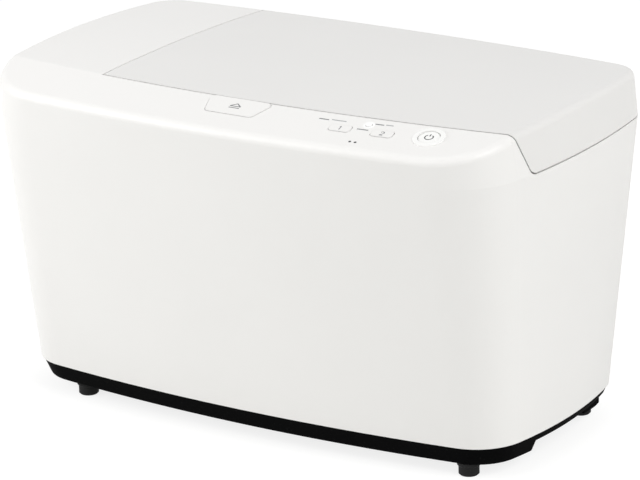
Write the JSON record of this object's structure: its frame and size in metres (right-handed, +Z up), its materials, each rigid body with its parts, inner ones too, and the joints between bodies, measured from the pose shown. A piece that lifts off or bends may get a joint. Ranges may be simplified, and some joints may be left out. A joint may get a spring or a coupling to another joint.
{
  "type": "electric food waste composter",
  "caption": "Counter-top electric food waste composter: flared box with a hinged lid, a press latch, a sloping strip of controls, a heated bucket with a stirrer and a filter at the back.",
  "frame": {"origin": "on the floor under the middle of the body, at the feet's undersides", "axes": "+X to the right along the length, +Y to the back where the hinge and the filter are, +Z up"},
  "size_m": [0.427, 0.2562, 0.2475],
  "materials": {
    "shell_white": "satin moulded, warm white",
    "lid_white": "satin moulded, warm white",
    "control_white": "satin moulded, white",
    "base_black": "fine-grained moulded, black",
    "inner_grey": "plain moulded, grey",
    "inner_black": "plain moulded, black",
    "lamp_clear": "clear-white moulded lens",
    "foot_rubber": "moulded, dull",
    "seal_rubber": "moulded silicone, dull",
    "belt_rubber": "moulded, dull",
    "bucket_aluminium": "cast, dark non-stick coating",
    "liner_aluminium": "spun, bare",
    "blade_steel": "cast and ground",
    "bright_steel": "ground, bare",
    "plate_steel": "zinc-plated sheet",
    "motor_steel": "painted can",
    "bronze": "sintered bearing bronze",
    "carbon": "activated carbon honeycomb",
    "board_green": "glass-fibre board, solder mask"
  },
  "bodies": {
    "casing": {"main_casing": "shell_white", "base_tray": "base_black", "base_screws": "bright_steel", "rubber_feet": "foot_rubber", "chassis_plate": "plate_steel", "chassis_screws": "bright_steel", "bearing_housing": "liner_aluminium", "drive_bearings": "bright_steel", "drive_motor": "motor_steel", "drive_belt": "belt_rubber", "chamber_liner": "liner_aluminium", "heater": "bright_steel", "thermostat": "inner_black", "bucket": "bucket_aluminium", "bucket_bushing": "bronze", "air_duct": "inner_grey", "fan_housing": "inner_black", "fan_motor": "motor_steel", "filter_tunnel": "inner_grey", "hinge_pins": "bright_steel", "latch_pin": "bright_steel", "latch_bracket": "inner_grey", "power_ring": "control_white", "lamp_lens": "lamp_clear", "control_board": "board_green", "power_board": "board_green", "cord_inlet": "inner_black"},
    "lid": {"lid_shell": "lid_white", "lid_panel": "inner_grey", "lid_gasket": "seal_rubber", "lid_catch": "inner_grey", "lid_screws": "bright_steel"},
    "latch_button": {"latch_button": "control_white"},
    "latch_lever": {"latch_lever": "inner_grey"},
    "power_button": {"power_button": "control_white"},
    "key_left": {"key_left": "control_white"},
    "key_right": {"key_right": "control_white"},
    "stirrer": {"drive_pulley": "inner_black", "drive_shaft": "bright_steel", "drive_coupling": "bright_steel", "bucket_coupling": "bright_steel", "blade_shaft": "bright_steel", "stirring_blade": "blade_steel"},
    "motor_rotor": {"motor_shaft": "bright_steel", "motor_pulley": "inner_black"},
    "fan_rotor": {"fan_impeller": "inner_black", "fan_shaft": "bright_steel"},
    "filter_drawer": {"filter_cover": "shell_white", "filter_tray": "inner_grey", "carbon_filter": "carbon"}
  },
  "joints": [
    {"name": "lid_hinge", "type": "hinge", "parent": "casing", "child": "lid", "pos_m": [0.0485, 0.12394, 0.2145], "axis": [-1, 0, 0], "range_deg": [0, 85]},
    {"name": "latch_press", "type": "slide", "parent": "casing", "child": "latch_button", "axis": [-0.0005, 0.2542, -0.9672], "range_m": [0, 0.0025], "stiffness_N_per_m": 600, "springref_m": -0.002},
    {"name": "latch_turn", "type": "hinge", "parent": "casing", "child": "latch_lever", "pos_m": [0.003, -0.0788, 0.197], "axis": [1, 0, 0], "range_deg": [0, 10]},
    {"name": "power_press", "type": "slide", "parent": "casing", "child": "power_button", "axis": [-0.0267, 0.2528, -0.9672], "range_m": [0, 0.0015], "stiffness_N_per_m": 800, "springref_m": -0.001},
    {"name": "key_left_press", "type": "slide", "parent": "casing", "child": "key_left", "axis": [-0.0155, 0.2537, -0.9672], "range_m": [0, 0.001], "stiffness_N_per_m": 800, "springref_m": -0.001},
    {"name": "key_right_press", "type": "slide", "parent": "casing", "child": "key_right", "axis": [-0.0209, 0.2533, -0.9672], "range_m": [0, 0.001], "stiffness_N_per_m": 800, "springref_m": -0.001},
    {"name": "stirrer_spin", "type": "hinge", "parent": "casing", "child": "stirrer", "pos_m": [0.0485, 0.0266, 0.08], "axis": [0, 0, 1], "continuous": true},
    {"name": "motor_spin", "type": "hinge", "parent": "casing", "child": "motor_rotor", "pos_m": [-0.075, 0.0266, 0.03], "axis": [0, 0, 1], "continuous": true},
    {"name": "fan_spin", "type": "hinge", "parent": "casing", "child": "fan_rotor", "pos_m": [-0.145, 0, 0.163], "axis": [1, 0, 0], "continuous": true},
    {"name": "filter_slide", "type": "slide", "parent": "casing", "child": "filter_drawer", "axis": [0, 1, 0], "range_m": [0, 0.07]}
  ],
  "couplings": [
    {"joint": "latch_turn", "follows": "latch_press", "rad_per_m": 67},
    {"joint": "motor_spin", "follows": "stirrer_spin", "ratio": 4.3884}
  ]
}
